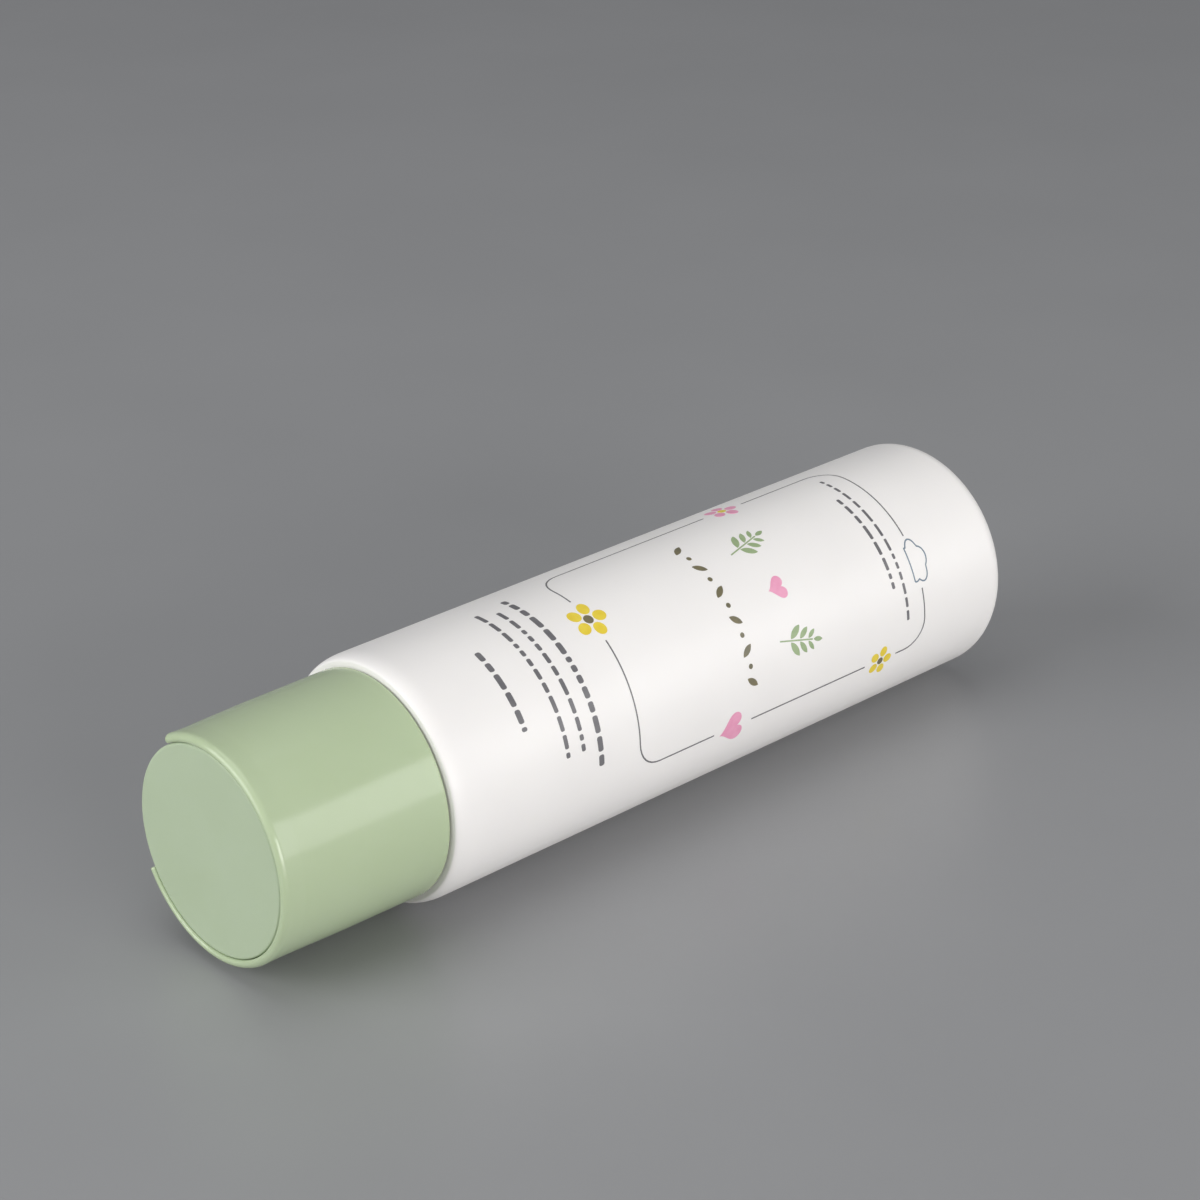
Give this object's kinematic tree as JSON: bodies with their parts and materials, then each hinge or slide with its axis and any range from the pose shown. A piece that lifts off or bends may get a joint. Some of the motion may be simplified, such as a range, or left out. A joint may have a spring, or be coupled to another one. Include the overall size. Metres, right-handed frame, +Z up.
{
  "type": "squeeze tube",
  "caption": "Round soft squeeze tube lying on its side, with a closed rounded end, a threaded neck and a screwed disc-top cap.",
  "frame": {"origin": "on the surface that the tube lies on, under the middle of its length and width", "axes": "+X along the tube from the cap's face to the closed end, +Z up"},
  "size_m": [0.1466, 0.038, 0.0377],
  "materials": {
    "soft_polyethylene": "satin",
    "foam": "matte",
    "green_polypropylene": "satin gloss",
    "green_disc": "matte"
  },
  "bodies": {
    "tube": {"tube_body": "soft_polyethylene"},
    "seal": {"sealing_ring": "foam"},
    "cap": {"cap_shell": "green_polypropylene"},
    "disc": {"press_disc": "green_disc"}
  },
  "joints": [
    {"name": "cap_lift", "type": "slide", "parent": "tube", "child": "seal", "axis": [-1, 0, 0], "range_m": [0, 0.0048]},
    {"name": "cap_turn", "type": "hinge", "parent": "seal", "child": "cap", "pos_m": [-0.06385, 0, 0.01868], "axis": [-1, 0, 0], "range_deg": [0, 540]},
    {"name": "disc_tip", "type": "hinge", "parent": "cap", "child": "disc", "pos_m": [-0.07105, 0, 0.01868], "axis": [0, 0.2419, -0.9703], "range_deg": [0, 22]}
  ],
  "couplings": [
    {"joint": "cap_lift", "follows": "cap_turn", "m_per_rad": 0.00050929}
  ]
}
